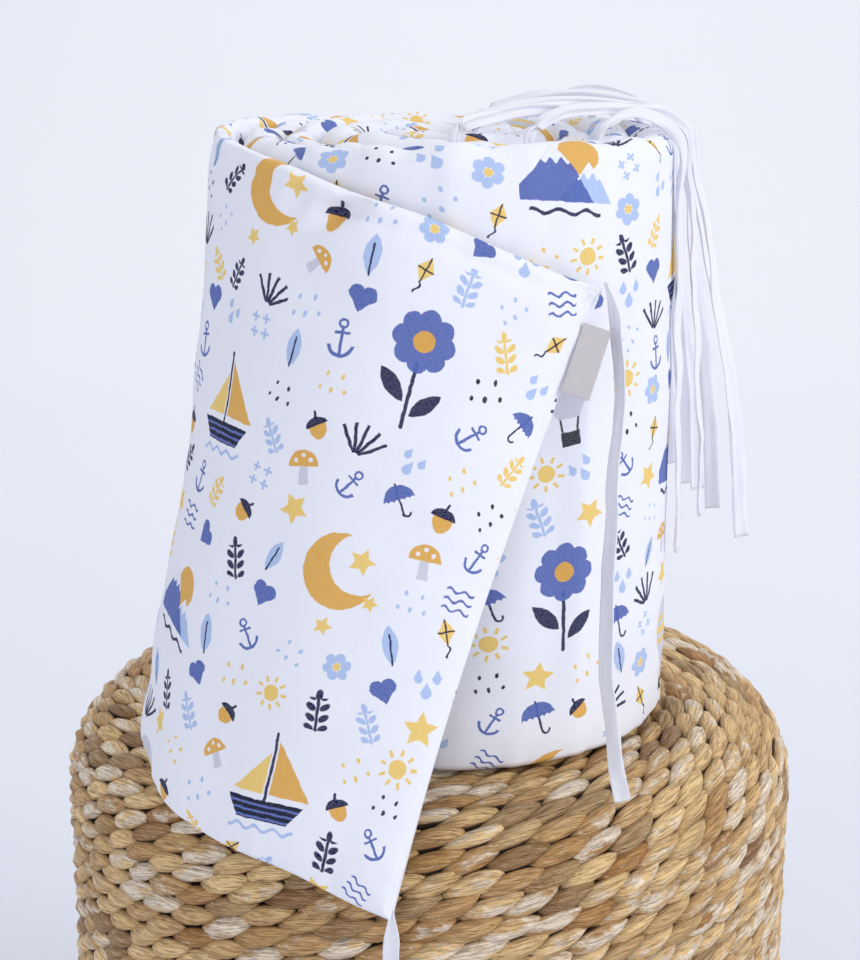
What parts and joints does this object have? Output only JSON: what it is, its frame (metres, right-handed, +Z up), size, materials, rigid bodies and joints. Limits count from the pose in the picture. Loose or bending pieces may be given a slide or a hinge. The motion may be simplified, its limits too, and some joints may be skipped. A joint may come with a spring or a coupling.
{
  "type": "rolled crib bumper on a woven pouffe",
  "caption": "Padded cloth crib bumper rolled up on its long edge with tie tapes and a loose end, standing on a round woven pouffe.",
  "frame": {"origin": "centre of the pouffe's base, on the floor", "axes": "+Z up; the loose end of the roll hangs towards -Y, and the bundle of ties hangs towards +X"},
  "size_m": [0.392, 0.4058, 0.6745],
  "materials": {
    "printed_cotton": "matt printed cotton over wadding",
    "white_tape": "matt woven tape",
    "woven_tab": "satin woven tab",
    "woven_stalks": "dried plant stalks, plaited"
  },
  "bodies": {
    "root": {"bumper_roll": "printed_cotton", "bumper_tail": "printed_cotton", "tie_01": "white_tape", "tie_02": "white_tape", "tie_03": "white_tape", "tie_04": "white_tape", "tie_05": "white_tape", "tie_06": "white_tape", "tie_07": "white_tape", "tie_08": "white_tape", "tie_top_corner": "white_tape", "tie_bottom_corner": "white_tape", "label_tab": "woven_tab", "pouffe": "woven_stalks"}
  },
  "joints": []
}
